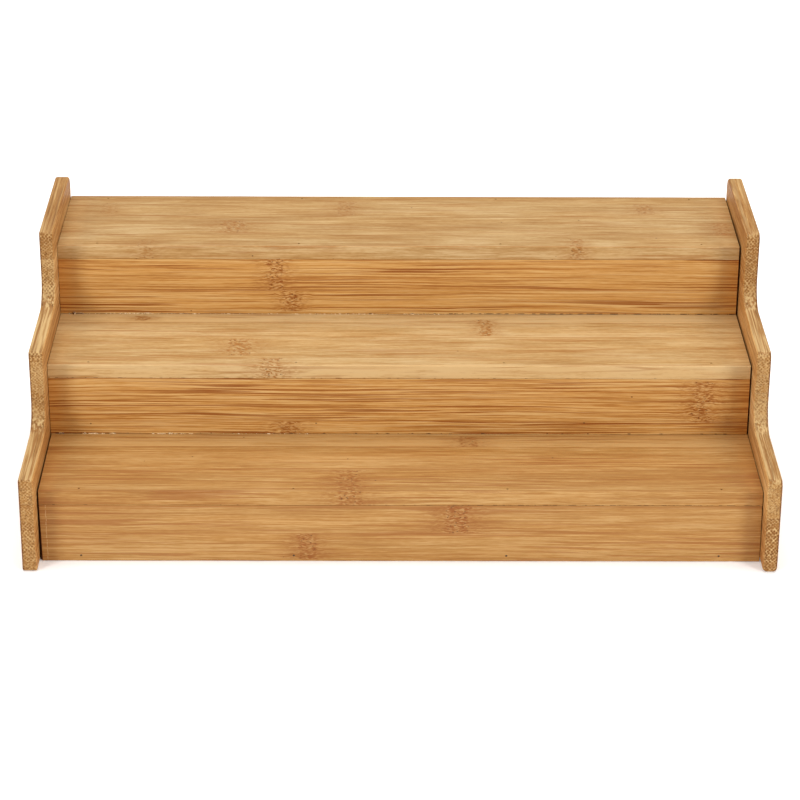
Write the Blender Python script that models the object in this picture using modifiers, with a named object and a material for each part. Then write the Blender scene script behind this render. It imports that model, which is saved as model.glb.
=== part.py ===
"""Three-step bamboo shelf riser for jars and tins.

Two stair-shaped side panels carry three treads and three risers. A back rail stands under the top
tread, a base rail lies behind the bottom riser, and steel pins hold every joint. The step boards are
one continuous width, so nothing on the riser moves.

Frame: metres, +Z up, +X to the right as seen from the front, the front facing -Y, and the origin at
the centre of the footprint on the surface that the riser stands on.
"""

import math

import bmesh
import bpy
from mathutils import Euler, Vector

# Driving dimensions
INNER_WIDTH = 0.390  # between the side panels
BOARD = 0.008  # thickness of every board
TREAD_PITCH = 0.0725  # from the front of one step to the front of the next
RISE = 0.042  # from the floor to the first tread, and from tread to tread
RAIL_WIDTH = 0.030  # width of the two hidden rails
TIERS = ("bottom", "middle", "top")

# Clearances
GAP = 0.0003  # between two pieces that touch
END_GAP = 0.0005  # between a step board's end and a side panel
FLOOR_GAP = 0.0005  # between the floor and the bottom riser and base rail

# Side panel outline: one nose, one lip and one hollow for each tier
NOSE_LEADS = (0.012, 0.0155, 0.0165)  # how far each nose stands ahead of its riser
LIPS = (0.0125, 0.0143, 0.0143)  # how far each lip stands above its tread
FRONT_LEAN = 0.0012  # how far each front edge leans back on its way down
NOSE_RADIUS = 0.0035
HOLLOW_RADIUS = 0.014
BACK_TOP_RADIUS = 0.008
FOOT_RADIUS = 0.0015
ARC_STEP = math.radians(13)

# Eased edges
BOARD_EASE = 0.0004
PANEL_EASE = 0.0008

# Steel pins
PIN_RADIUS = 0.0005
PIN_LENGTH = 0.025
PIN_SET = 0.0005  # how far a pin's end is set below the surface
PIN_SIDES = 8
ROW_X = (-0.1725, -0.0575, 0.0575, 0.1725)  # pins along a front or back edge
HIDDEN_ROW_X = (-0.115, 0.0, 0.115)  # pins driven up through a tread, between the others
BASE_PIN_HEIGHT = 0.003  # above the bottom edge of the bottom riser
TREAD_END_PINS = (0.016, 0.060)  # behind the front edge of a tread

# Derived places
DEPTH = NOSE_LEADS[0] + len(TIERS) * TREAD_PITCH + BOARD
FRONT = -DEPTH / 2
BACK = DEPTH / 2
HALF_INNER = INNER_WIDTH / 2
HALF_OUTER = HALF_INNER + BOARD
HALF_STEP = HALF_INNER - END_GAP

# Base colour, roughness and metallic value of each material
FINISHES = {
    "pale_bamboo": ((0.58, 0.35, 0.14), 0.38, 0.0),
    "amber_bamboo": ((0.46, 0.22, 0.07), 0.42, 0.0),
    "panel_bamboo": ((0.54, 0.30, 0.11), 0.40, 0.0),
    "raw_bamboo": ((0.60, 0.42, 0.22), 0.65, 0.0),
    "pin_steel": ((0.25, 0.23, 0.21), 0.35, 1.0),
}


def clear_scene():
    for item in list(bpy.data.objects):
        bpy.data.objects.remove(item, do_unlink=True)


def new_collection(name):
    collection = bpy.data.collections.new(name)
    bpy.context.scene.collection.children.link(collection)
    return collection


def new_material(name, finish):
    colour, roughness, metallic = FINISHES[finish]
    material = bpy.data.materials.new(name)
    material.use_nodes = True
    shader = material.node_tree.nodes["Principled BSDF"]
    shader.inputs["Base Color"].default_value = (*colour, 1.0)
    shader.inputs["Roughness"].default_value = roughness
    shader.inputs["Metallic"].default_value = metallic
    return material


def riser_front(tier):
    return FRONT + NOSE_LEADS[0] + tier * TREAD_PITCH


def tread_top(tier):
    return (tier + 1) * RISE


def new_part(name, mesh, finish, collection):
    part = bpy.data.objects.new(name, mesh)
    part.data.materials.append(new_material(name, finish))
    collection.objects.link(part)
    return part


def ease_edges(part, width):
    bevel = part.modifiers.new("eased_edges", "BEVEL")
    bevel.width = width
    bevel.segments = 1
    bevel.limit_method = "ANGLE"
    bevel.angle_limit = math.radians(60)


def make_board(name, low, high, finish, collection):
    """A plain board between two opposite corners."""
    low, high = Vector(low), Vector(high)
    cube = bmesh.new()
    bmesh.ops.create_cube(cube, size=1.0)
    bmesh.ops.scale(cube, vec=high - low, verts=cube.verts)
    mesh = bpy.data.meshes.new(name)
    cube.to_mesh(mesh)
    cube.free()
    board = new_part(name, mesh, finish, collection)
    board.location = (low + high) / 2
    ease_edges(board, BOARD_EASE)
    return board


def rounded_outline(corners):
    """Points of a closed outline whose (y, z, radius) corners are turned into arcs."""
    outline = []
    for index, (y, z, radius) in enumerate(corners):
        corner = Vector((y, z))
        following = corners[(index + 1) % len(corners)]
        to_last = (Vector(corners[index - 1][:2]) - corner).normalized()
        to_next = (Vector(following[:2]) - corner).normalized()
        half_angle = to_last.angle(to_next) / 2
        reach = radius / math.tan(half_angle)
        centre = corner + (to_last + to_next).normalized() * (radius / math.sin(half_angle))
        start = corner + to_last * reach - centre
        end = corner + to_next * reach - centre
        first_angle = math.atan2(start.y, start.x)
        sweep = math.remainder(math.atan2(end.y, end.x) - first_angle, math.tau)
        steps = math.ceil(abs(sweep) / ARC_STEP)
        for step in range(steps + 1):
            angle = first_angle + sweep * step / steps
            outline.append(centre + radius * Vector((math.cos(angle), math.sin(angle))))
    return outline


def panel_corners():
    """Corners of a side panel: back, top, then down the stair to the foot."""
    corners = [(BACK, 0.0, FOOT_RADIUS), (BACK, tread_top(2) + LIPS[2], BACK_TOP_RADIUS)]
    for tier in (2, 1, 0):
        nose_y = riser_front(tier) - NOSE_LEADS[tier]
        corners.append((nose_y, tread_top(tier) + LIPS[tier], NOSE_RADIUS))
        if tier:
            hollow_z = tread_top(tier - 1) + LIPS[tier - 1]
            corners.append((nose_y + FRONT_LEAN, hollow_z, HOLLOW_RADIUS))
    corners.append((FRONT, 0.0, FOOT_RADIUS))
    return corners


def make_side_panel(name, side, collection):
    """A flat stair-shaped outline, given the board's thickness; side is -1 or 1."""
    outline = rounded_outline(panel_corners())
    curve = bpy.data.curves.new(name, "CURVE")
    curve.dimensions = "2D"
    curve.fill_mode = "BOTH"
    curve.extrude = BOARD / 2
    spline = curve.splines.new("POLY")
    spline.points.add(len(outline) - 1)
    for point, (y, z) in zip(spline.points, outline):
        point.co = (y, z, 0.0, 1.0)
    spline.use_cyclic_u = True
    flat = bpy.data.objects.new(name + "_outline", curve)
    flat.location.x = side * (HALF_INNER + BOARD / 2)
    flat.rotation_euler = Euler((math.pi / 2, 0.0, math.pi / 2))
    collection.objects.link(flat)
    bpy.context.view_layer.update()
    panel = new_part(name, welded_mesh(flat, name), "panel_bamboo", collection)
    panel.matrix_world = flat.matrix_world.copy()
    bpy.data.objects.remove(flat, do_unlink=True)
    ease_edges(panel, PANEL_EASE)
    return panel


def welded_mesh(curve_object, name):
    """The curve's mesh, with its two caps joined to its rim."""
    evaluated = curve_object.evaluated_get(bpy.context.evaluated_depsgraph_get())
    mesh = bpy.data.meshes.new_from_object(evaluated)
    mesh.name = name
    shell = bmesh.new()
    shell.from_mesh(mesh)
    bmesh.ops.remove_doubles(shell, verts=shell.verts, dist=0.00001)
    bmesh.ops.recalc_face_normals(shell, faces=shell.faces)
    shell.to_mesh(mesh)
    shell.free()
    return mesh


def make_boards(collection):
    """The treads, risers and rails, by name."""
    boards = {}
    for tier, label in enumerate(TIERS):
        front = riser_front(tier)
        top = tread_top(tier)
        foot = tread_top(tier - 1) + GAP if tier else FLOOR_GAP
        tread = "tread_" + label
        riser = "riser_" + label
        boards[tread] = make_board(
            tread,
            (-HALF_STEP, front, top - BOARD),
            (HALF_STEP, front + TREAD_PITCH + BOARD, top),
            "pale_bamboo",
            collection,
        )
        boards[riser] = make_board(
            riser,
            (-HALF_STEP, front, foot),
            (HALF_STEP, front + BOARD, top - BOARD - GAP),
            "amber_bamboo" if tier else "pale_bamboo",
            collection,
        )
    rail_top = tread_top(2) - BOARD - GAP
    boards["back_rail"] = make_board(
        "back_rail",
        (-HALF_STEP, BACK - BOARD, rail_top - RAIL_WIDTH),
        (HALF_STEP, BACK, rail_top),
        "raw_bamboo",
        collection,
    )
    rail_front = riser_front(0) + BOARD + GAP
    boards["base_rail"] = make_board(
        "base_rail",
        (-HALF_STEP, rail_front, FLOOR_GAP),
        (HALF_STEP, rail_front + RAIL_WIDTH, FLOOR_GAP + BOARD),
        "raw_bamboo",
        collection,
    )
    return boards


def add_rod(target, start, direction, length, radius):
    """Add a closed rod to a bmesh and return its far end face's edges."""
    turn = Vector((0, 0, 1)).rotation_difference(direction).to_matrix().to_4x4()
    turn.translation = start + direction * (length / 2)
    rod = bmesh.ops.create_cone(
        target,
        cap_ends=True,
        segments=PIN_SIDES,
        radius1=radius,
        radius2=radius,
        depth=length,
        matrix=turn,
    )
    tip = start + direction * length
    ends = [vert for vert in rod["verts"] if abs((vert.co - tip).dot(direction)) < radius]
    return [edge for edge in target.edges if edge.verts[0] in ends and edge.verts[1] in ends]


def make_pin(name, entry, direction, collection):
    """A headless steel pin with a chamfered tip, set just below the surface at entry."""
    pin = bmesh.new()
    tip_edges = add_rod(pin, entry + direction * PIN_SET, direction, PIN_LENGTH, PIN_RADIUS)
    bmesh.ops.bevel(pin, geom=tip_edges, offset=PIN_RADIUS / 2, segments=1, affect="EDGES")
    mesh = bpy.data.meshes.new(name)
    pin.to_mesh(mesh)
    pin.free()
    mesh.shade_smooth()
    mesh.set_sharp_from_angle(angle=math.radians(50))
    return new_part(name, mesh, "pin_steel", collection)


def pin_row(name, entries, direction, joined, parts, cutters):
    """Drive a row of pins from their entry points, and drill both joined boards for them."""
    direction = Vector(direction)
    holes = bmesh.new()
    for number, entry in enumerate(entries, start=1):
        entry = Vector(entry)
        make_pin(f"{name}_{number}", entry, direction, parts)
        drilled = PIN_SET + PIN_LENGTH + GAP + BOARD / 2
        add_rod(holes, entry - direction * (BOARD / 2), direction, drilled, PIN_RADIUS + GAP)
    mesh = bpy.data.meshes.new(name + "_holes")
    holes.to_mesh(mesh)
    holes.free()
    cutter = bpy.data.objects.new(name + "_holes", mesh)
    cutter.hide_render = True
    cutter.display_type = "WIRE"
    cutters.objects.link(cutter)
    for board in joined:
        drill = board.modifiers.new(name + "_holes", "BOOLEAN")
        drill.operation = "DIFFERENCE"
        drill.object = cutter


def pin_steps(boards, parts, cutters):
    """Pins that hold the treads, risers and rails to one another."""
    middle = BOARD / 2
    for tier, label in enumerate(TIERS):
        tread = boards["tread_" + label]
        riser = boards["riser_" + label]
        y = riser_front(tier) + middle
        entries = [(x, y, tread_top(tier)) for x in ROW_X]
        pin_row(f"pin_{label}_front", entries, (0, 0, -1), (tread, riser), parts, cutters)
        if tier:
            below = boards["tread_" + TIERS[tier - 1]]
            entries = [(x, y, tread_top(tier - 1) - BOARD) for x in HIDDEN_ROW_X]
            pin_row(f"pin_{label}_foot", entries, (0, 0, 1), (below, riser), parts, cutters)
    entries = [(x, BACK - middle, tread_top(2)) for x in ROW_X]
    joined = (boards["tread_top"], boards["back_rail"])
    pin_row("pin_top_back", entries, (0, 0, -1), joined, parts, cutters)
    entries = [(x, riser_front(0), FLOOR_GAP + BASE_PIN_HEIGHT) for x in ROW_X]
    joined = (boards["riser_bottom"], boards["base_rail"])
    pin_row("pin_base", entries, (0, 1, 0), joined, parts, cutters)


def pin_ends(panel, label, side, boards, parts, cutters):
    """Pins through one side panel into the ends of the treads and risers."""
    outside = side * HALF_OUTER
    inward = (-side, 0, 0)
    for tier, tier_label in enumerate(TIERS):
        front = riser_front(tier)
        tread_middle = tread_top(tier) - BOARD / 2
        entries = [(outside, front + reach, tread_middle) for reach in TREAD_END_PINS]
        joined = (panel, boards["tread_" + tier_label])
        pin_row(f"pin_{label}_tread_{tier_label}", entries, inward, joined, parts, cutters)
        riser_middle = tread_top(tier) - BOARD / 2 - RISE / 2
        entries = [(outside, front + BOARD / 2, riser_middle)]
        joined = (panel, boards["riser_" + tier_label])
        pin_row(f"pin_{label}_riser_{tier_label}", entries, inward, joined, parts, cutters)


def build():
    clear_scene()
    parts = new_collection("tiered_shelf_riser")
    cutters = new_collection("cutters")
    boards = make_boards(parts)
    pin_steps(boards, parts, cutters)
    for label, side in (("left", -1), ("right", 1)):
        panel = make_side_panel(label + "_side_panel", side, parts)
        pin_ends(panel, label, side, boards, parts, cutters)


build()
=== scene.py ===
import math

import bmesh
import bpy
from mathutils import Euler, Matrix, Vector, noise


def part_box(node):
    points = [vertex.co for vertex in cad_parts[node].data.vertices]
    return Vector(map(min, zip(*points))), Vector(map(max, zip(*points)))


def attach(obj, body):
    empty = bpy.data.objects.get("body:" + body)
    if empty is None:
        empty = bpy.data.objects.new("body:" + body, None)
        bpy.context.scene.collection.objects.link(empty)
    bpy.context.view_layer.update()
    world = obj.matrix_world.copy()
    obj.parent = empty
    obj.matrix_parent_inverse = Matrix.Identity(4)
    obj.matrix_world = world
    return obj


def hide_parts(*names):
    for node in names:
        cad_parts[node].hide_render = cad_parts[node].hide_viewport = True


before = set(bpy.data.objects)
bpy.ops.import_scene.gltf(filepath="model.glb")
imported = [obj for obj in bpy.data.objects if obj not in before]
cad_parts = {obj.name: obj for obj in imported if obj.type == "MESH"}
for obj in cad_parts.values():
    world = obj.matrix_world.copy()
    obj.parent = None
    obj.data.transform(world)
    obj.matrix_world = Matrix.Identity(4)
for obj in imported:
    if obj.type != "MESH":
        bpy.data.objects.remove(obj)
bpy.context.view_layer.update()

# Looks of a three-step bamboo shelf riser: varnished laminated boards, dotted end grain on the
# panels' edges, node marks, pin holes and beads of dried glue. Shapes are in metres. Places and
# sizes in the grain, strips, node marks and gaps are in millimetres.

MM = 0.001
TIERS = ("bottom", "middle", "top")

# Side panel outline, the same as the CAD panel's
NOSE_LEADS = (0.012, 0.0155, 0.0165)
LIPS = (0.0125, 0.0143, 0.0143)
FRONT_LEAN = 0.0012
HOLLOW_RADIUS = 0.014
BACK_TOP_RADIUS = 0.008
FOOT_RADIUS = 0.0015
PANEL_EASE = 0.0011
ARC_STEP = math.radians(4)

# Boards
BOARD_CUTS = 60
SOFT_EDGE = 0.0007
CRISP_EDGE = 0.00016
WEAR = 0.00008
EDGE_REACH = 0.0003  # a point this near a board's box lies on that side of it
SAME_LINE = 0.0001  # two places this close are on one line
GROOVE = 0.002
END_GAP = 0.0005
SEAM_CLOSING = 0.00025
PIN_SET = 0.0005
HOLE_RADIUS = 0.00058
HOLE_DEPTH = 0.0012
HOLE_SIDES = 14

# Millimetres. Pairs say where a change starts and ends.
BUNDLE_PITCH = 1.40
HIDDEN_GAP = 0.06
# Where the painted shade towards a board's ends starts and ends
BOARD_ENDS = (178.0, 194.0)
PANEL_OUTER = (199.5, 202.4)
PANEL_RIM = (201.8, 202.4)
TOP_LIP = (115.0, 130.0)
# Where the painted reflection of the left panel's edge lies on the bottom riser
PAINTED_REFLECTION_X = -190.5

# Camera, beside the middle of the front and looking down
CAMERA_PLACE = (-0.0121, -1.4677, 0.7220)
CAMERA_PITCH = math.radians(24.69)
CAMERA_YAW = math.radians(-0.487)
CAMERA_ROLL = math.radians(0.314)
CAMERA_LENS = 127.76


# ---------------------------------------------------------------- node wiring


class Wiring:
    """Short calls that build the nodes of one material."""

    def __init__(self, name):
        self.material = bpy.data.materials.new(name)
        self.material.use_nodes = True
        self.tree = self.material.node_tree
        self.shader = self.tree.nodes["Principled BSDF"]

    def node(self, kind, **settings):
        node = self.tree.nodes.new(kind)
        for key, value in settings.items():
            setattr(node, key, value)
        return node

    def put(self, socket, value):
        if isinstance(value, bpy.types.NodeSocket):
            self.tree.links.new(value, socket)
        else:
            socket.default_value = value

    def math(self, operation, *values, clamp=False):
        node = self.node("ShaderNodeMath", operation=operation, use_clamp=clamp)
        for socket, value in zip(node.inputs, values):
            self.put(socket, value)
        return node.outputs[0]

    def total(self, first, *rest):
        for value in rest:
            first = self.math("ADD", first, value)
        return first

    def times(self, first, *rest):
        for value in rest:
            first = self.math("MULTIPLY", first, value)
        return first

    def centred(self, value, size):
        """A 0 to 1 value turned into -size to size."""
        return self.math("MULTIPLY_ADD", value, 2 * size, -size)

    def vector(self, x, y, z):
        node = self.node("ShaderNodeCombineXYZ")
        for socket, value in zip(node.inputs, (x, y, z)):
            self.put(socket, value)
        return node.outputs[0]

    def smooth(self, value, low, high, start=0.0, end=1.0):
        node = self.node("ShaderNodeMapRange", interpolation_type="SMOOTHSTEP")
        for socket, item in zip(node.inputs, (value, low, high, start, end)):
            self.put(socket, item)
        return node.outputs[0]

    def noise(self, vector, detail=2.0, roughness=0.5):
        node = self.node("ShaderNodeTexNoise")
        self.put(node.inputs["Vector"], vector)
        node.inputs["Scale"].default_value = 1.0
        node.inputs["Detail"].default_value = detail
        node.inputs["Roughness"].default_value = roughness
        return node.outputs[0]

    def cells(self, vector, randomness=1.0, flat=False):
        node = self.node("ShaderNodeTexVoronoi", voronoi_dimensions="2D" if flat else "3D")
        self.put(node.inputs["Vector"], vector)
        node.inputs["Scale"].default_value = 1.0
        node.inputs["Randomness"].default_value = randomness
        return node

    def ramp(self, value, stops, interpolation="LINEAR"):
        node = self.node("ShaderNodeValToRGB")
        scale = node.color_ramp
        scale.interpolation = interpolation
        for _ in stops[2:]:
            scale.elements.new(0.5)
        for element, (place, colour) in zip(scale.elements, stops):
            element.position = place
            element.color = (*colour, 1.0)
        self.put(node.inputs[0], value)
        return node.outputs[0]

    def mix(self, factor, first, second, blend="MIX"):
        node = self.node("ShaderNodeMix", data_type="RGBA", blend_type=blend)
        self.put(node.inputs[0], factor)
        self.put(node.inputs[6], first if not isinstance(first, tuple) else (*first, 1.0))
        self.put(node.inputs[7], second if not isinstance(second, tuple) else (*second, 1.0))
        return node.outputs[2]

    def places(self):
        """The object's x, y and z, in millimetres."""
        texture = self.node("ShaderNodeTexCoord")
        split = self.node("ShaderNodeSeparateXYZ")
        self.put(split.inputs[0], texture.outputs["Object"])
        return [self.times(axis, 1000.0) for axis in split.outputs]

    def facing(self, axis):
        """How squarely the surface faces along one axis, 0 to 1."""
        texture = self.node("ShaderNodeTexCoord")
        split = self.node("ShaderNodeSeparateXYZ")
        self.put(split.inputs[0], texture.outputs["Normal"])
        return self.math("ABSOLUTE", split.outputs[axis])


# ---------------------------------------------------------------- bamboo

# One look for each kind of board.
# colours: dark, middle and light fibre. brown: node marks and dark streaks.
# width, length: size of the fibres across and along the grain. detail: fineness of the fibres.
# medium, broad, smoke: strength of middling, broad and very broad changes of tone.
# fibre: strength of the middling and fine fibres together.
# painted_end_shade: how far painted shade, darker and more orange, darkens the ends of a board
# beside the panels.
# spacing, lines: spacing of the thin dark lines, and where their edges are cut.
# dark, pale: strength of the dark and pale lines. gloss, roughness: of the varnish.
STRAW = {
    "colours": ((0.316, 0.160, 0.046), (0.416, 0.248, 0.092), (0.520, 0.352, 0.168)),
    "brown": (0.285, 0.104, 0.016),
    "width": 1.45,
    "length": 0.9,
    "detail": 3.0,
    "medium": 0.66,
    "broad": 0.36,
    "smoke": 0.42,
    "painted_end_shade": 0.25,
    "fibre": 1.1,
    "spacing": 1.3,
    "lines": (0.54, 0.62),
    "dark": 0.48,
    "pale": 0.35,
    "gloss": 0.25,
    "roughness": 0.50,
}
HONEY = {
    "colours": ((0.290, 0.125, 0.027), (0.369, 0.186, 0.050), (0.460, 0.266, 0.098)),
    "brown": (0.240, 0.072, 0.011),
    "width": 0.95,
    "length": 1.2,
    "detail": 2.0,
    "medium": 0.66,
    "broad": 0.28,
    "smoke": 0.42,
    "painted_end_shade": 0.6,
    "fibre": 1.1,
    "spacing": 1.3,
    "lines": (0.54, 0.62),
    "dark": 0.55,
    "pale": 0.25,
    "gloss": 0.25,
    "roughness": 0.50,
}
AMBER = {
    "colours": ((0.345, 0.140, 0.028), (0.500, 0.256, 0.068), (0.585, 0.360, 0.140)),
    "brown": (0.250, 0.075, 0.010),
    "width": 0.72,
    "length": 1.5,
    "detail": 0.0,
    "medium": 0.50,
    "broad": 0.10,
    "smoke": 0.08,
    "painted_end_shade": 1.0,
    "fibre": 1.15,
    "spacing": 1.35,
    "lines": (0.545, 0.61),
    "dark": 1.0,
    "pale": 0.25,
    "gloss": 0.25,
    "roughness": 0.52,
}
PANEL = {
    "colours": ((0.270, 0.115, 0.030), (0.400, 0.210, 0.066), (0.560, 0.365, 0.160)),
    "brown": (0.125, 0.040, 0.008),
    "width": 0.9,
    "length": 1.0,
    "detail": 2.0,
    "medium": 0.66,
    "broad": 0.30,
    "smoke": 0.42,
    "fibre": 1.0,
    "spacing": 1.3,
    "lines": (0.54, 0.62),
    "dark": 0.45,
    "pale": 0.55,
    "gloss": 0.12,
    "roughness": 0.58,
}
RAW = {
    "colours": ((0.40, 0.23, 0.10), (0.53, 0.36, 0.18), (0.65, 0.48, 0.28)),
    "brown": (0.28, 0.14, 0.045),
    "width": 1.2,
    "length": 1.0,
    "detail": 2.0,
    "medium": 0.66,
    "broad": 0.33,
    "smoke": 0.42,
    "painted_end_shade": 0.0,
    "fibre": 1.1,
    "spacing": 1.3,
    "lines": (0.54, 0.62),
    "dark": 0.4,
    "pale": 0.4,
    "gloss": 0.10,
    "roughness": 0.72,
}
# Tiny dark specks, pores and joint dashes; also the painted shade on board end faces in the gaps at
# the panels.
SPECK_AND_GAP_SHADE = (0.055, 0.016, 0.005)
# Pale pith and cream streaks; also the painted reflection line on the bottom riser.
PITH_AND_REFLECTION = (0.640, 0.440, 0.200)


class Bamboo(Wiring):
    """Varnished laminated bamboo. The grain runs along one axis; glued strips lie across another.

    strips: (lower edge in mm, tone, end grain contrast) of each strip.
    marks: (along, across, half length, half width, tint, strokes) of each node mark, in mm.
    """

    def __init__(self, name, look, grain, across, strips, marks=(), seed=0.0):
        super().__init__(name)
        self.look = look
        self.grain = grain
        axes = self.places()
        self.along = axes[grain]
        self.across = axes[across]
        self.thick = axes[3 - grain - across]
        # Mask of the rough end faces, which are also painted dark as shade; none until it is set.
        self.shaded_rough_ends = 0.0
        self.read_strips(strips)
        self.shift = self.math("MULTIPLY_ADD", self.strip_seed, 91.0, seed)
        self.read_marks(marks)
        self.bend_grain()

    def read_strips(self, strips):
        """Tone, end grain contrast and seed of the strip that a place lies in, and its edges."""
        low = strips[0][0]
        span = strips[-1][0] - low + 60.0
        stops = []
        for number, (edge, tone, dots) in enumerate(strips):
            stops.append(((edge - low) / span, (tone, dots, (0.37 * number + 0.11) % 1.0)))
        if len(stops) == 1:
            stops.append((1.0, stops[0][1]))
        share = self.math("DIVIDE", self.math("SUBTRACT", self.across, low), span)
        split = self.node("ShaderNodeSeparateColor")
        self.put(split.inputs[0], self.ramp(share, stops, "CONSTANT"))
        self.tone, self.dotting, self.strip_seed = split.outputs
        self.joint = 0.0
        for edge, _, _ in strips[1:]:
            away = self.math("ABSOLUTE", self.math("SUBTRACT", self.across, edge))
            self.joint = self.math("MAXIMUM", self.joint, self.smooth(away, 0.1, 0.45, 1.0, 0.0))

    def read_marks(self, marks):
        """Masks of the node marks: the core that is stroked and tinted, and the halo round it."""
        edge_place = self.vector(
            self.shift, self.times(self.across, 0.5), self.times(self.thick, 0.5)
        )
        ragged = self.noise(edge_place, 2.0)
        shifted = self.math("ADD", self.along, self.centred(ragged, 5.0))
        self.core = self.halo = self.tint = 0.0
        for at, over, half_along, half_across, tint, strokes in marks:
            reach = self.math("ABSOLUTE", self.math("SUBTRACT", shifted, at))
            side = self.math("ABSOLUTE", self.math("SUBTRACT", self.across, over))
            beside = self.smooth(side, half_across - 0.7, half_across + 0.5, 1.0, 0.0)
            core = self.smooth(reach, half_along * 0.65, half_along * 1.15, 1.0, 0.0)
            halo = self.smooth(reach, half_along * 0.8, half_along * 3.4, 1.0, 0.0)
            core, halo = self.times(core, beside), self.times(halo, beside)
            self.core = self.math("MAXIMUM", self.core, self.times(core, strokes))
            self.halo = self.math("MAXIMUM", self.halo, self.times(halo, strokes))
            warm = self.math("MAXIMUM", core, self.times(halo, 0.45))
            self.tint = self.math("MAXIMUM", self.tint, self.times(warm, tint))

    def bend_grain(self):
        """Let the fibres wander slowly, and ripple near a node."""
        slow = self.vector(
            self.times(self.along, 0.008), self.times(self.across, 0.04), self.shift
        )
        quick = self.vector(
            self.times(self.along, 0.15),
            self.times(self.across, 0.30),
            self.math("MULTIPLY_ADD", self.thick, 0.30, self.shift),
        )
        wander = self.centred(self.noise(slow), 2.0)
        ripple = self.times(self.centred(self.noise(quick), 1.7), self.halo)
        self.wavy = self.total(self.across, wander, ripple)

    def fibres(self, length, width, detail=2.0, roughness=0.6, lot=0.0):
        """Noise drawn out along the grain: about length by width mm, times the look's width."""
        wide = 1.0 / (width * self.look["width"])
        long = 1.0 / (length * self.look["length"])
        place = self.vector(
            self.math("MULTIPLY_ADD", self.along, long, self.shift),
            self.math("MULTIPLY_ADD", self.wavy, wide, lot),
            self.times(self.thick, wide),
        )
        return self.noise(place, detail, roughness)

    def draw(self):
        look = self.look
        dark, middle, light = look["colours"]
        medium = self.fibres(46.0, 1.05, look["detail"], 0.6)
        fine = self.fibres(17.0, 0.5, 2.0, 0.65, 7.0)
        broad = self.fibres(140.0, 4.5, 2.0, 0.5, 13.0)
        smoke = self.fibres(60.0, 14.0, 2.0, 0.5, 19.0)
        grit = self.fibres(3.6, 0.45, 1.0, 0.5, 83.0)
        strength = look["fibre"]
        level = self.total(
            0.5,
            self.centred(medium, look["medium"] * strength),
            self.centred(fine, 0.62 * strength),
            self.centred(broad, look["broad"]),
            self.centred(smoke, look["smoke"]),
            self.centred(grit, 0.30),
            self.centred(self.tone, 0.5),
        )
        colour = self.ramp(level, [(0.05, dark), (0.5, middle), (0.95, light)])
        pale = self.smooth(self.tone, 0.8, 1.0)
        colour = self.mix(self.times(pale, 0.8), colour, (1.10, 1.10, 1.08), "MULTIPLY")
        warmth = self.smooth(self.fibres(90.0, 7.0, 2.0, 0.55, 71.0), 0.40, 0.62)
        colour = self.mix(self.times(warmth, 0.8), colour, (1.0, 0.95, 0.86), "MULTIPLY")
        colour = self.add_streaks(colour)
        colour = self.mix(self.times(self.joint, 0.35), colour, look["brown"])
        colour = self.add_marks(colour, fine)
        colour = self.add_specks(colour)
        relief = self.total(self.times(medium, 0.5), self.times(fine, 0.5))
        return colour, relief, broad

    def add_streaks(self, colour):
        """Thin dark and pale lines, in patches."""
        look = self.look
        lines = self.fibres(58.0, look["spacing"], 1.0, 0.5, 29.0)
        dark = self.smooth(lines, *look["lines"])
        patches = self.smooth(self.fibres(130.0, 9.0, 1.0, 0.5, 37.0), 0.36, 0.60, 0.25, 1.0)
        colour = self.mix(self.times(dark, patches, look["dark"]), colour, look["brown"])
        pale = self.smooth(self.fibres(60.0, 1.3, 2.0, 0.55, 43.0), 0.56, 0.70)
        return self.mix(self.times(pale, look["pale"]), colour, look["colours"][2])

    def add_marks(self, colour, fine):
        """The warm tint, short strokes, pale dashes and dark pores of a node mark."""
        if isinstance(self.tint, float):
            return colour
        look = self.look
        dark, _, light = look["colours"]
        warm = self.ramp(fine, [(0.35, look["brown"]), (0.65, dark)])
        colour = self.mix(self.times(self.tint, 0.7), colour, warm)
        wide = look["width"]
        stroke_place = self.vector(
            self.math("MULTIPLY_ADD", self.along, 1 / 2.6, self.shift),
            self.times(self.wavy, 1 / (0.55 * wide)),
            self.times(self.thick, 1 / (0.55 * wide)),
        )
        strokes = self.noise(stroke_place, 1.0, 0.5)
        active = self.math("MAXIMUM", self.core, self.times(self.halo, 0.45))
        dashes = self.times(self.smooth(strokes, 0.50, 0.57), active)
        colour = self.mix(dashes, colour, look["brown"])
        gaps = self.times(self.smooth(strokes, 0.43, 0.35), self.core, 0.6)
        colour = self.mix(gaps, colour, light)
        pore_place = self.vector(
            self.math("MULTIPLY_ADD", self.along, 1 / 2.6, self.shift),
            self.times(self.across, 1 / (1.5 * wide)),
            self.times(self.thick, 1 / (1.5 * wide)),
        )
        pores = self.smooth(self.cells(pore_place).outputs["Distance"], 0.13, 0.24, 1.0, 0.0)
        return self.mix(self.times(pores, self.core, 0.8), colour, SPECK_AND_GAP_SHADE)

    def add_specks(self, colour):
        """A few tiny dark specks anywhere."""
        place = self.vector(
            self.math("MULTIPLY_ADD", self.along, 1 / 19.0, self.shift),
            self.times(self.across, 1 / 14.0),
            self.times(self.thick, 1 / 14.0),
        )
        distance = self.cells(place).outputs["Distance"]
        return self.mix(self.times(self.smooth(distance, 0.02, 0.034, 1.0, 0.0), 0.8), colour, SPECK_AND_GAP_SHADE)

    def bundles(self):
        """Distance to the nearest fibre bundle, in a jittered diagonal lattice, in pitches.

        The bundles crowd together towards one side of each strip.
        """
        phase = self.math("MULTIPLY_ADD", self.wavy, math.tau / 42.0, -2.5)
        self.sparse = self.math("COSINE", phase)
        crowding = self.times(self.math("SINE", phase), -0.8)
        high = self.math("MULTIPLY_ADD", self.wavy, 1 / BUNDLE_PITCH, crowding)
        wide = self.times(self.thick, 1 / BUNDLE_PITCH)
        place = self.vector(self.total(high, wide), self.math("SUBTRACT", high, wide), 0.0)
        node = self.cells(place, 0.46, flat=True)
        node.inputs["Scale"].default_value = math.sqrt(0.5)
        return node.outputs["Distance"]

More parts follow.
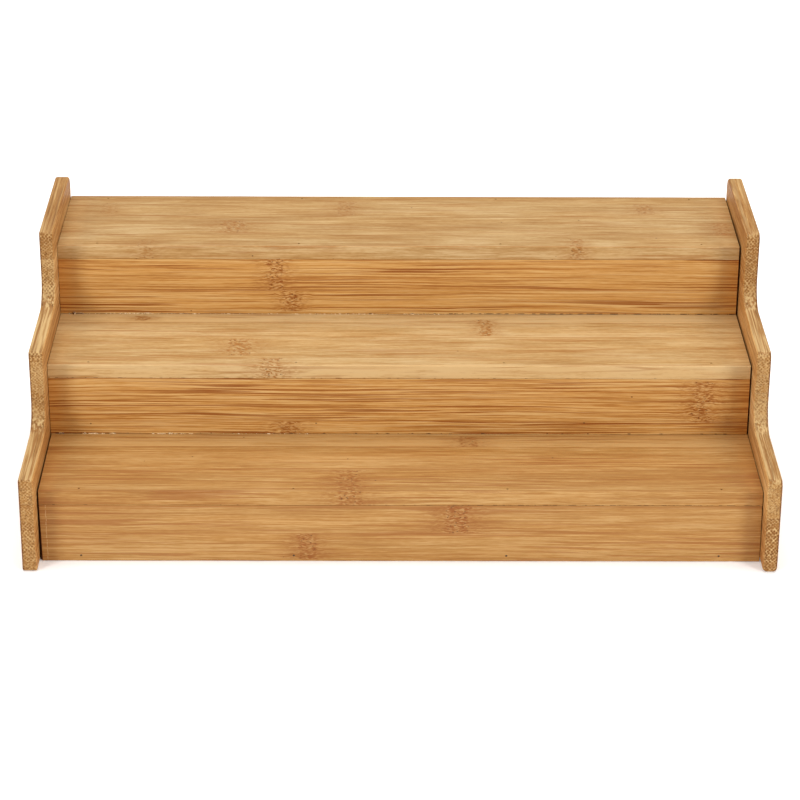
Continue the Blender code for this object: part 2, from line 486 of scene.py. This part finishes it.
    def end_grain(self, colour, relief):
        """Dark fibre bundles in pale pith: dots on cut ends, thin lines on long faces."""
        distance = self.bundles()
        outside = self.smooth(self.math("ABSOLUTE", self.thick), *PANEL_OUTER)
        cut = self.smooth(self.facing(self.grain), 0.10, 0.50)
        turned = self.math("MULTIPLY_ADD", outside, -0.35, self.facing(0))
        flat = self.smooth(turned, 0.25, 0.60, 1.0, 0.0)
        colour = self.mix(self.times(cut, flat), colour, (0.83, 0.80, 0.77), "MULTIPLY")
        # Painted light: faces turned sideways, such as the panels' inner faces, are made lighter and
        # warmer to stand in for light from the side lamps.
        side = self.smooth(self.facing(0), 0.45, 0.9)
        colour = self.mix(side, colour, (1.16, 1.08, 1.02), "MULTIPLY")
        colour, core = self.draw_bundles(colour, distance, cut, flat)
        colour = self.streak_lips(colour, flat)
        colour = self.fleck_bends(colour, cut, flat)
        rim = self.smooth(self.math("ABSOLUTE", self.thick), *PANEL_RIM)
        notches = self.smooth(distance, 0.25, 0.6, 1.0, 0.45)
        colour = self.mix(self.times(rim, cut, notches), colour, self.look["brown"])
        return colour, self.total(relief, self.times(core, -1.2))

    def draw_bundles(self, colour, distance, cut, flat):
        """The bundles and the pith between them, fainter where the bundles are sparse."""
        spread = self.smooth(self.fibres(9.0, 3.2, 2.0, 0.5, 53.0), 0.35, 0.65, 0.35, 1.0)
        spread = self.times(spread, self.smooth(self.sparse, -0.6, 0.8, 0.7, 1.0))
        strength = self.times(
            self.math("MULTIPLY_ADD", cut, 0.55, 0.45), flat, self.dotting, spread
        )
        core = self.times(self.smooth(distance, 0.19, 0.33, 1.0, 0.0), strength)
        colour = self.mix(core, colour, self.look["brown"])
        pith = self.times(self.smooth(distance, 0.46, 0.60), strength, 0.75)
        return self.mix(pith, colour, PITH_AND_REFLECTION), core

    def streak_lips(self, colour, flat):
        """Darker lips, with cream and dark streaks."""
        look = self.look
        slant = self.times(self.smooth(self.facing(2), 0.35, 0.75), flat)
        lip = self.times(slant, self.smooth(self.across, *TOP_LIP, 1.0, 0.2))
        colour = self.mix(lip, colour, (0.79, 0.755, 0.73), "MULTIPLY")
        slant = self.times(slant, self.smooth(self.across, *TOP_LIP, 1.0, look["top_streaks"]))
        lines = self.smooth(self.fibres(60.0, 1.15, 1.0, 0.5, 97.0), 0.53, 0.59)
        cream = self.smooth(self.fibres(60.0, 2.0, 1.0, 0.5, 103.0), 0.42, 0.56)
        colour = self.mix(self.times(cream, slant, 0.55), colour, PITH_AND_REFLECTION)
        return self.mix(self.times(lines, slant, 0.75), colour, look["colours"][0])

    def fleck_bends(self, colour, cut, flat):
        """Short dark flecks where the edge turns from end grain to long grain."""
        flecks = self.smooth(self.fibres(4.0, 0.9, 1.0, 0.5, 61.0), 0.54, 0.58)
        bent = self.times(self.smooth(self.facing(self.grain), 0.38, 0.60), flat)
        flecks = self.times(flecks, bent, self.smooth(cut, 0.7, 1.0, 1.0, 0.0), 0.9)
        return self.mix(flecks, colour, self.look["brown"])

    def shade_board_ends(self, colour):
        """Painted shade: rough end faces painted nearly black, standing in for the shade in the gaps
        at the panels; and darker, more orange painted shade towards the ends of a board.
        """
        # Painted shade: darker and more orange towards the board's ends, where the panels shade them
        # and cast warm reflected light.
        painted_end_shade = self.smooth(
            self.math("ABSOLUTE", self.along), *BOARD_ENDS, 0.0, self.look["painted_end_shade"]
        )
        colour = self.mix(painted_end_shade, colour, (0.98, 0.82, 0.58), "MULTIPLY")
        # Painted shade: the end faces nearly black, standing in for the shade in the gaps at the
        # panels.
        self.shaded_rough_ends = self.smooth(self.facing(self.grain), 0.5, 0.8)
        return self.mix(self.times(self.shaded_rough_ends, 0.95), colour, SPECK_AND_GAP_SHADE)

    def soot(self, colour, height, left, right):
        """Dark dashes along the joint below a tread's front edge; left and right say how many."""
        x, _, z = self.places()
        near = self.smooth(self.math("ABSOLUTE", self.math("SUBTRACT", z, height)), 0.15, 0.5, 1, 0)
        dashes = self.noise(self.vector(self.times(x, 1 / 4.5), self.shift, 0.0), 2.0, 0.6)
        share = self.smooth(x, -40.0, 60.0, left, right)
        dashes = self.smooth(self.math("ADD", dashes, share), 0.60, 0.68)
        upright = self.smooth(self.facing(1), 0.5, 0.9)
        return self.mix(self.times(near, dashes, upright, 0.85), colour, SPECK_AND_GAP_SHADE)

    def painted_reflection(self, colour, at):
        """A painted reflection: a thin pale line square to a riser's grain, broken here and there,
        standing in for the left panel's bright edge mirrored in the varnish.
        """
        x, _, z = self.places()
        drift = self.centred(self.noise(self.vector(self.times(z, 0.3), self.shift, 0.0)), 0.5)
        beside = self.math("ABSOLUTE", self.total(x, -at, drift))
        near = self.smooth(beside, 0.10, 0.32, 1.0, 0.0)
        whole = self.smooth(self.noise(self.vector(self.times(z, 0.7), 0.0, self.shift)), 0.40, 0.55)
        return self.mix(self.times(near, whole, 0.38), colour, PITH_AND_REFLECTION)

    def finish(self, colour, relief, broad):
        shader = self.shader
        self.put(shader.inputs["Base Color"], colour)
        gloss = self.math("MULTIPLY_ADD", broad, 0.2, self.look["roughness"] - 0.1)
        # The end faces are rough; the same mask paints their shade.
        self.put(shader.inputs["Roughness"], self.math("MAXIMUM", gloss, self.shaded_rough_ends))
        shader.inputs["Specular IOR Level"].default_value = self.look["gloss"]
        bump = self.node("ShaderNodeBump")
        bump.inputs["Strength"].default_value = 0.5
        bump.inputs["Distance"].default_value = 0.00007
        self.put(bump.inputs["Height"], relief)
        self.put(shader.inputs["Normal"], bump.outputs[0])
        return self.material


def bamboo(name, look, grain, across, strips, marks=(), seed=0.0, dots=False, soot=None, painted_reflection=None):
    wood = Bamboo(name, look, grain, across, strips, marks, seed)
    colour, relief, broad = wood.draw()
    if dots:
        colour, relief = wood.end_grain(colour, relief)
    else:
        # Painted shade on the board's ends and on its end faces.
        colour = wood.shade_board_ends(colour)
    if soot:
        colour = wood.soot(colour, *soot)
    # Painted reflection line, on the bottom riser only.
    if painted_reflection:
        colour = wood.painted_reflection(colour, painted_reflection)
    return wood.finish(colour, relief, broad)


def glue_material(name, stops):
    wiring = Wiring(name)
    x, y, z = wiring.places()
    grain = wiring.noise(wiring.vector(x, wiring.times(y, 2.0), wiring.times(z, 2.0)), 3.0)
    colour = wiring.ramp(grain, stops)
    wiring.put(wiring.shader.inputs["Base Color"], colour)
    wiring.put(wiring.shader.inputs["Roughness"], wiring.math("MULTIPLY_ADD", grain, 0.3, 0.35))
    return wiring.material


def pin_material():
    wiring = Wiring("pin_end_steel")
    x, y, z = wiring.places()
    place = wiring.vector(wiring.times(x, 4.0), wiring.times(y, 4.0), wiring.times(z, 4.0))
    grain = wiring.noise(place, 3.0)
    colour = wiring.ramp(grain, [(0.3, (0.05, 0.03, 0.02)), (0.7, (0.16, 0.12, 0.10))])
    wiring.put(wiring.shader.inputs["Base Color"], colour)
    wiring.put(wiring.shader.inputs["Roughness"], wiring.math("MULTIPLY_ADD", grain, 0.3, 0.35))
    wiring.shader.inputs["Metallic"].default_value = 0.8
    return wiring.material


# ---------------------------------------------------------------- shapes


def placed_mesh(piece_name, shell):
    mesh = bpy.data.meshes.new(piece_name)
    shell.to_mesh(mesh)
    shell.free()
    return mesh


def baked(piece):
    """Replace a piece's mesh with the result of its modifiers."""
    bpy.context.view_layer.update()
    evaluated = piece.evaluated_get(bpy.context.evaluated_depsgraph_get())
    mesh = bpy.data.meshes.new_from_object(evaluated)
    piece.modifiers.clear()
    piece.data = mesh
    return piece


def new_piece(name, mesh):
    piece = bpy.data.objects.new(name, mesh)
    bpy.context.scene.collection.objects.link(piece)
    return piece


def smooth_shading(piece):
    """Round the eased edges and keep the faces flat."""
    piece.data.shade_smooth()
    piece.data.set_sharp_from_angle(angle=math.radians(38))
    weighted = piece.modifiers.new("flat_faces", "WEIGHTED_NORMAL")
    weighted.keep_sharp = True
    weighted.weight = 100
    baked(piece)


def show(piece, material, node=None):
    """Give a piece its material, ride it on the one body and hide the CAD part that it stands for.
    """
    piece.data.materials.clear()
    piece.data.materials.append(material)
    smooth_shading(piece)
    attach(piece, "root")
    if node:
        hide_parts(node)
    return piece


def ease(piece, width, segments, by_weight):
    bevel = piece.modifiers.new("eased_edges", "BEVEL")
    bevel.width = width
    bevel.segments = segments
    bevel.limit_method = "WEIGHT" if by_weight else "ANGLE"
    bevel.angle_limit = math.radians(60)


def drill(piece, holes):
    """Cut shallow round holes, given as (mouth, inward direction)."""
    shell = bmesh.new()
    for mouth, inward in holes:
        turn = Vector((0, 0, 1)).rotation_difference(inward).to_matrix().to_4x4()
        turn.translation = mouth
        bmesh.ops.create_cone(
            shell,
            cap_ends=True,
            segments=HOLE_SIDES,
            radius1=HOLE_RADIUS,
            radius2=HOLE_RADIUS,
            depth=2 * HOLE_DEPTH,
            matrix=turn,
        )
    cutter = new_piece(piece.name + "_drill", placed_mesh(piece.name + "_drill", shell))
    cut = piece.modifiers.new("pin_holes", "BOOLEAN")
    cut.operation = "DIFFERENCE"
    cut.object = cutter
    baked(piece)
    bpy.data.objects.remove(cutter, do_unlink=True)


def wear_mesh(mesh, low, high, seed):
    """Pull edges in a little, unevenly, as sanding does; faces and the overall size stay."""
    for vertex in mesh.vertices:
        place = vertex.co
        rough = noise.noise(Vector((place.x * 60, place.y * 60, place.z * 60 + seed)))
        inward = Vector([0.0, 0.0, 0.0])
        for axis in range(3):
            if place[axis] - low[axis] < EDGE_REACH:
                inward[axis] = 1.0
            elif high[axis] - place[axis] < EDGE_REACH:
                inward[axis] = -1.0
        if sum(abs(value) for value in inward) > 1.5:
            vertex.co = place + inward * (WEAR * (0.5 + 0.5 * rough))


def pin_holes(prefixes):
    """Mouths and directions of the pins whose names start so, read from the frame."""
    holes = []
    for name in sorted(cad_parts):
        if not name.startswith(prefixes):
            continue
        low, high = (Vector(corner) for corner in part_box(name))
        length = high - low
        axis = max(range(3), key=lambda number: length[number])
        inward = Vector((0, 0, 0))
        start = (low + high) / 2
        if name.startswith(("pin_left", "pin_base")) or "_foot_" in name:
            inward[axis], start[axis] = 1.0, low[axis]
        else:
            inward[axis], start[axis] = -1.0, high[axis]
        holes.append((start - inward * PIN_SET, inward))
    return holes


def cut_across(shell, axis, level):
    """Add a loop of edges where a plane square to an axis crosses the shell."""
    point = Vector((0, 0, 0))
    normal = Vector((0, 0, 0))
    point[axis], normal[axis] = level, 1.0
    everything = shell.verts[:] + shell.edges[:] + shell.faces[:]
    bmesh.ops.bisect_plane(shell, geom=everything, plane_co=point, plane_no=normal)


def set_ends(shell, low, high, lying, gaps):
    """Move a board's ends to their gaps, and closer to the panels behind the visible faces."""
    across = 1 if lying else 2
    for vertex in shell.verts:
        depth = vertex.co.y - low.y
        if lying:
            depth = min(depth, high.z - vertex.co.z)
        left = vertex.co.x < (low.x + high.x) / 2
        near, far = gaps[0 if left else 1]
        share = (vertex.co[across] - low[across]) / (high[across] - low[across])
        gap = near + (far - near) * share
        gap += (HIDDEN_GAP - gap) * min(1.0, max(0.0, depth / GROOVE))
        vertex.co.x += (gap * MM - END_GAP) * (1 if left else -1)


def weigh_edges(shell, low, high, soft_edge):
    """Ease the top front edge by soft_edge and every other fold crisply, then split the length."""
    weight = shell.edges.layers.float.new("bevel_weight_edge")
    for edge in shell.edges:
        middle = (edge.verts[0].co + edge.verts[1].co) / 2
        nose = middle.y - low.y < SAME_LINE and high.z - middle.z < SAME_LINE
        folded = edge.calc_face_angle(0.0) > 0.5
        edge[weight] = (soft_edge if nose else CRISP_EDGE) / SOFT_EDGE if folded else 0.0
    long_edges = [
        edge for edge in shell.edges if abs(edge.verts[0].co.x - edge.verts[1].co.x) > 0.1
    ]
    bmesh.ops.subdivide_edges(shell, edges=long_edges, cuts=BOARD_CUTS, use_grid_fill=True)
    for edge in shell.edges:
        if edge.calc_face_angle(0.0) < 0.5:
            edge[weight] = 0.0


def make_board(node, soft_edge, gaps, seed, holes=()):
    """A board cut from its CAD node's box.

    gaps are between the board's visible face and the side panels: for the left and then the
    right end, first at the front or low side of the board and then at the back or high side.
    The ends are chamfered to that gap and come closer to the panels below the chamfer, and a
    riser reaches the treads above and below it.
    """
    low, high = (Vector(corner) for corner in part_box(node))
    lying = high.y - low.y > high.z - low.z
    if not lying:
        low.z, high.z = low.z - SEAM_CLOSING, high.z + SEAM_CLOSING
    shell = bmesh.new()
    bmesh.ops.create_cube(shell, size=1.0)
    for vertex in shell.verts:
        vertex.co = [low[axis] if vertex.co[axis] < 0 else high[axis] for axis in range(3)]
    cut_across(shell, 1, low.y + GROOVE)
    if lying:
        cut_across(shell, 2, high.z - GROOVE)
    set_ends(shell, low, high, lying, gaps)
    weigh_edges(shell, low, high, soft_edge)
    board = new_piece(node + "_wood", placed_mesh(node + "_wood", shell))
    ease(board, SOFT_EDGE, 4, True)
    baked(board)
    wear_mesh(board.data, low, high, seed)
    if holes:
        drill(board, holes)
    return board


def rounded_outline(corners):
    """Points of a closed outline whose (y, z, radius) corners are turned into arcs."""
    outline = []
    for index, (y, z, radius) in enumerate(corners):
        corner = Vector((y, z))
        following = corners[(index + 1) % len(corners)]
        to_last = (Vector(corners[index - 1][:2]) - corner).normalized()
        to_next = (Vector(following[:2]) - corner).normalized()
        half_angle = to_last.angle(to_next) / 2
        reach = radius / math.tan(half_angle)
        centre = corner + (to_last + to_next).normalized() * (radius / math.sin(half_angle))
        start = corner + to_last * reach - centre
        end = corner + to_next * reach - centre
        first_angle = math.atan2(start.y, start.x)
        sweep = math.remainder(math.atan2(end.y, end.x) - first_angle, math.tau)
        steps = math.ceil(abs(sweep) / ARC_STEP)
        for step in range(steps + 1):
            angle = first_angle + sweep * step / steps
            outline.append(centre + radius * Vector((math.cos(angle), math.sin(angle))))
    return outline


def panel_corners(node, nose_radius):
    """Corners of a side panel, from the boxes of the panel, the treads and the risers."""
    low, high = (Vector(corner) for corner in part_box(node))
    corners = [(high.y, low.z, FOOT_RADIUS), (high.y, high.z, BACK_TOP_RADIUS)]
    for tier in (2, 1, 0):
        tread_high = Vector(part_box("tread_" + TIERS[tier])[1])
        riser_low = Vector(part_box("riser_" + TIERS[tier])[0])
        nose_y = riser_low.y - NOSE_LEADS[tier]
        corners.append((nose_y, tread_high.z + LIPS[tier], nose_radius))
        if tier:
            below = Vector(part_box("tread_" + TIERS[tier - 1])[1])
            corners.append((nose_y + FRONT_LEAN, below.z + LIPS[tier - 1], HOLLOW_RADIUS))
    corners.append((low.y, low.z, FOOT_RADIUS))
    return corners


def make_panel(node, nose_radius, foot_round, holes):
    """A side panel; foot_round is the radius to which its foot is sanded across its thickness."""
    low, high = (Vector(corner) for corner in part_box(node))
    shell = bmesh.new()
    outline = rounded_outline(panel_corners(node, nose_radius))
    rim = [shell.verts.new((low.x, y, z)) for y, z in outline]
    side = shell.faces.new(rim)
    pushed = bmesh.ops.extrude_face_region(shell, geom=[side])
    for item in pushed["geom"]:
        if isinstance(item, bmesh.types.BMVert):
            item.co.x = high.x
    bmesh.ops.recalc_face_normals(shell, faces=shell.faces)
    panel = new_piece(node + "_wood", placed_mesh(node + "_wood", shell))
    ease(panel, PANEL_EASE, 4, False)
    baked(panel)
    if foot_round:
        round_foot(panel.data, low, high, foot_round)
    drill(panel, holes)
    return panel


def round_foot(mesh, low, high, radius):
    """Draw the lowest part of a panel in towards its middle, from both faces."""
    shell = bmesh.new()
    shell.from_mesh(mesh)
    for share in (0.12, 0.3, 0.55, 0.8, 1.0):
        cut_across(shell, 2, radius * share)
    middle = (low.x + high.x) / 2
    for vertex in shell.verts:
        if vertex.co.z >= radius:
            continue
        drop = min(radius, radius - vertex.co.z)
        inset = radius - math.sqrt(radius * radius - drop * drop)
        half = (high.x - low.x) / 2
        vertex.co.x = middle + (vertex.co.x - middle) * (half - inset) / half
    shell.to_mesh(mesh)
    shell.free()


def make_glue_line(name, tread, riser, start, end, count, size, seed):
    """A broken bead of dried glue and fibre in the corner between a riser and the tread below."""
    tread_high = Vector(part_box(tread)[1])
    riser_low = Vector(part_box(riser)[0])
    shell = bmesh.new()
    for number in range(count):
        spread = noise.cell(Vector((number * 1.7, seed, 0.0)))
        radius = size * (0.5 + 0.5 * noise.cell(Vector((number * 2.3, seed, 4.0))))
        along = start + (end - start) * (number + 0.8 * spread) / count
        place = Vector((along, riser_low.y - radius * 0.5, tread_high.z + radius * 0.4))
        stretch = Matrix.Diagonal((1.5 + 2.5 * spread, 1.0, 0.8, 1.0))
        turn = Euler((0.0, 0.35 * (spread - 0.5), 0.5 * (spread - 0.5))).to_matrix().to_4x4()
        bmesh.ops.create_icosphere(
            shell, subdivisions=1, radius=radius, matrix=Matrix.Translation(place) @ turn @ stretch
        )
    return new_piece(name, placed_mesh(name, shell))


# ---------------------------------------------------------------- the riser's pieces


def behind_front(tier, rows):
    """Rows whose across value is measured back from a tread's front edge, put in the frame."""
    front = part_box("tread_" + TIERS[tier])[0].y / MM
    return [(row[0], front + row[1], *row[2:]) for row in rows]


def build_treads():
    strips = {
        2: [
            (-20, 0.60, 0),
            (0.4, 0.42, 0),
            (18, 0.44, 0),
            (46, 0.48, 0),
            (73, 0.26, 0),
            (79.6, 0.0, 0),
        ],
        1: [(-20, 1.0, 0), (0.6, 0.60, 0), (11, 0.52, 0), (39.5, 0.68, 0), (60, 1.0, 0)],
        0: [(-20, 0.44, 0), (2, 0.46, 0), (28, 0.50, 0), (56, 0.92, 0)],
    }
    marks = {
        2: [
            (-170, 60, 6, 9, 0.40, 0.35),
            (-96, 31, 8, 10, 0.40, 0.75),
            (-31, 60, 6, 12, 0.60, 0.55),
            (101, 5, 4, 7, 0.50, 0.70),
            (-145, 3, 5, 7, 0.25, 0.45),
            (145, 60, 6, 9, 0.60, 0.55),
            (186, 28, 5, 10, 0.60, 0.50),
        ],
        1: [
            (-147, 66, 4.5, 3.5, 1.0, 0.70),
            (-90, 25, 7, 12, 0.45, 0.85),
            (-71, 2, 6, 8, 0.30, 0.85),
            (49, 53, 4, 12, 0.60, 0.95),
        ],
        0: [(38, 63, 6, 7, 0.70, 0.60), (-28, 13, 7, 14, 0.40, 0.70)],
    }
    gaps = {
        2: ((0.10, 0.15), (1.15, 0.50)),
        1: ((0.15, 0.20), (0.90, 0.80)),
        0: ((1.00, 0.50), (0.35, 0.30)),
    }
    pins = {
        2: ("pin_top_front", "pin_top_back"),
        1: ("pin_middle_front", "pin_top_foot"),
        0: ("pin_bottom_front", "pin_middle_foot"),
    }
    dashes = {0: (0.02, 0.13), 1: (0.10, 0.04), 2: (0.0, 0.0)}
    for tier, label in enumerate(TIERS):
        node = "tread_" + label
        look = STRAW if tier else {**HONEY, "width": 1.4, "fibre": 1.25}
        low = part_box(node)[0] / MM
        across = [(edge + low.y, tone, dots) for edge, tone, dots in strips[tier]]
        nodes = behind_front(tier, marks[tier])
        soot = (low.z, *dashes[tier])
        seed = 3.0 + 14 * tier
        material = bamboo(node + "_bamboo", look, 0, 1, across, nodes, seed, soot=soot)
        board = make_board(node, SOFT_EDGE, gaps[tier], 1.0 + tier, pin_holes(pins[tier]))
        show(board, material, node)


def build_risers():
    rows = {
        "riser_top": (
            AMBER,
            [(70, 0.62, 0), (99, 0.47, 0)],
            [(-71, 109, 5, 10.5, 0.35, 1.0), (-62, 92, 5, 6.5, 0.35, 1.0)],
            ((0.12, 0.10), (1.10, 1.10)),
            "amber_bamboo",
            (0.02, 0.14),
        ),
        "riser_middle": (
            {**AMBER, "fibre": 1.75},
            [(30, 0.50, 0), (50, 0.50, 0)],
            [(168, 62, 6, 12.5, 0.50, 0.95), (-62, 46, 6, 4, 0.55, 0.9)],
            ((0.15, 0.15), (0.90, 0.90)),
            "amber_bamboo",
            (0.05, 0.05),
        ),
        "riser_bottom": (
            HONEY,
            [(-5, 0.54, 0), (17, 0.50, 0), (33, 0.26, 0)],
            [(31, 25.5, 7.5, 8.5, 1.0, 0.9), (-50, 9, 5.5, 8, 0.85, 0.85)],
            ((1.70, 1.10), (0.15, 0.45)),
            "pale_bamboo",
            (-1.0, -1.0),
        ),
    }
    for number, (node, (look, strips, marks, gaps, slot, dashes)) in enumerate(rows.items()):
        soot = (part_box(node)[0].z / MM, *dashes)
        # Painted reflection of the left panel's bright edge, on the bottom riser only.
        painted_reflection = PAINTED_REFLECTION_X if node == "riser_bottom" else None
        seed = 41.0 + 12 * number
        material = bamboo(
            node + "_bamboo", look, 0, 2, strips, marks, seed, soot=soot, painted_reflection=painted_reflection
        )
        holes = pin_holes(("pin_base",)) if node == "riser_bottom" else ()
        board = make_board(node, CRISP_EDGE, gaps, 4.0 + number, holes)
        show(board, material, node)


def build_rails():
    for number, (node, across) in enumerate((("back_rail", 2), ("base_rail", 1))):
        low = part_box(node)[0][across] / MM
        strips = [(low - 2, 0.5, 0), (low + 17, 0.42, 0)]
        material = bamboo(node + "_bamboo", RAW, 0, across, strips, seed=71.0 + number)
        end_gap = END_GAP / MM
        gaps = ((end_gap, end_gap), (end_gap, end_gap))
        show(make_board(node, CRISP_EDGE, gaps, 7.0 + number), material, node)


def build_panels():
    left_strips = [
        (-10, 0.34, 0.65),
        (40, 0.45, 0.55),
        (67, 0.52, 0.65),
        (96, 0.70, 0.9),
        (124, 0.40, 0.8),
    ]
    right_strips = [
        (-10, 0.32, 1.0),
        (32, 0.56, 0.30),
        (50, 0.76, 0.50),
        (74, 0.56, 0.70),
        (109, 0.32, 0.8),
    ]
    rows = {
        "left": (left_strips, 0.0016, 0.0, 0.25),
        "right": (right_strips, 0.0042, 0.0028, 0.6),
    }
    for number, (label, (strips, nose_radius, foot_round, top_streaks)) in enumerate(rows.items()):
        node = label + "_side_panel"
        marks = [(15.0, 30.0, 6, 12, 0.4, 0.5), (70.0, 82.0, 5, 12, 0.4, 0.4)]
        look = {**PANEL, "top_streaks": top_streaks}
        seed = 83.0 + 14 * number
        material = bamboo(node + "_bamboo", look, 1, 2, strips, marks, seed, dots=True)
        panel = make_panel(node, nose_radius, foot_round, pin_holes(("pin_" + label,)))
        show(panel, material, node)


def build_small_parts():
    pale_stops = [
        (0.38, (0.24, 0.11, 0.03)),
        (0.46, (0.55, 0.36, 0.16)),
        (0.60, (0.80, 0.64, 0.41)),
    ]
    dark_stops = [
        (0.44, (0.06, 0.02, 0.006)),
        (0.52, (0.26, 0.11, 0.03)),
        (0.62, (0.80, 0.58, 0.30)),
    ]
    glue = glue_material("dried_glue", pale_stops)
    fibre = glue_material("torn_fibre", dark_stops)
    middle, bottom = ("tread_middle", "riser_top"), ("tread_bottom", "riser_middle")
    beads = {
        "glue_line_middle": (glue, middle, -0.181, 0.03, 170, 0.00042, 1.0),
        "glue_smear_middle": (glue, middle, -0.166, -0.141, 30, 0.00075, 2.0),
        "glue_line_bottom": (glue, bottom, -0.177, -0.160, 20, 0.00060, 3.0),
        "glue_smear_bottom": (glue, bottom, -0.138, -0.115, 26, 0.00065, 4.0),
        "glue_end_bottom": (glue, bottom, -0.098, -0.050, 30, 0.00042, 5.0),
        "torn_fibre_middle": (fibre, middle, -0.1895, -0.1820, 8, 0.0013, 6.0),
        "torn_fibre_bottom": (fibre, bottom, -0.1920, -0.1870, 6, 0.0009, 7.0),
    }
    for name, (material, joint, *measures) in beads.items():
        show(make_glue_line(name, *joint, *measures), material)
    steel = pin_material()
    for name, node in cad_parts.items():
        if name.startswith("pin_"):
            node.data.materials.clear()
            node.data.materials.append(steel)


# ---------------------------------------------------------------- stage, light and camera


def build_stage():
    bpy.ops.mesh.primitive_plane_add(size=12.0, location=(0.0, 1.5, 0.0))
    floor = bpy.context.object
    floor.name = "floor"
    wiring = Wiring("pale_floor")
    x, y, _ = wiring.places()
    cloud = wiring.noise(wiring.vector(wiring.times(x, 0.004), wiring.times(y, 0.004), 0.0))
    colour = wiring.ramp(cloud, [(0.3, (0.93, 0.93, 0.93)), (0.7, (0.96, 0.96, 0.96))])
    wiring.put(wiring.shader.inputs["Base Color"], colour)
    wiring.shader.inputs["Roughness"].default_value = 0.9
    wiring.put(wiring.shader.inputs["Emission Color"], colour)
    wiring.shader.inputs["Emission Strength"].default_value = 0.14
    floor.data.materials.append(wiring.material)


def add_softbox(name, place, target, size, power):
    light = bpy.data.lights.new(name, "AREA")
    light.shape = "RECTANGLE"
    light.size, light.size_y = size
    light.energy = power
    lamp = bpy.data.objects.new(name, light)
    lamp.location = place
    aim = Vector(target) - Vector(place)
    lamp.rotation_euler = aim.to_track_quat("-Z", "Y").to_euler()
    bpy.context.scene.collection.objects.link(lamp)


def build_light():
    scene = bpy.context.scene
    world = bpy.data.worlds.new("studio")
    scene.world = world
    world.use_nodes = True
    background = world.node_tree.nodes["Background"]
    background.inputs["Color"].default_value = (1.0, 1.0, 1.0, 1.0)
    background.inputs["Strength"].default_value = 0.30
    middle = (0.0, 0.0, 0.07)
    add_softbox("overhead_softbox", (0.0, 0.5, 2.1), (0.0, 0.3, 0.0), (2.6, 2.0), 58.0)
    add_softbox("left_softbox", (-1.8, -1.8, 0.95), middle, (0.8, 1.1), 36.0)
    add_softbox("right_softbox", (1.8, -1.8, 0.95), middle, (0.8, 1.1), 36.0)
    scene.view_settings.view_transform = "Standard"


def build_camera():
    camera = bpy.data.cameras.new("camera")
    camera.lens = CAMERA_LENS
    camera.sensor_width = 36.0
    eye = bpy.data.objects.new("camera", camera)
    bpy.context.scene.collection.objects.link(eye)
    turn = (
        Matrix.Rotation(CAMERA_YAW, 4, "Z")
        @ Matrix.Rotation(math.pi / 2 - CAMERA_PITCH, 4, "X")
        @ Matrix.Rotation(CAMERA_ROLL, 4, "Z")
    )
    eye.matrix_world = Matrix.Translation(CAMERA_PLACE) @ turn
    bpy.context.scene.camera = eye


build_camera()
build_stage()
build_light()
build_treads()
build_risers()
build_rails()
build_panels()
build_small_parts()
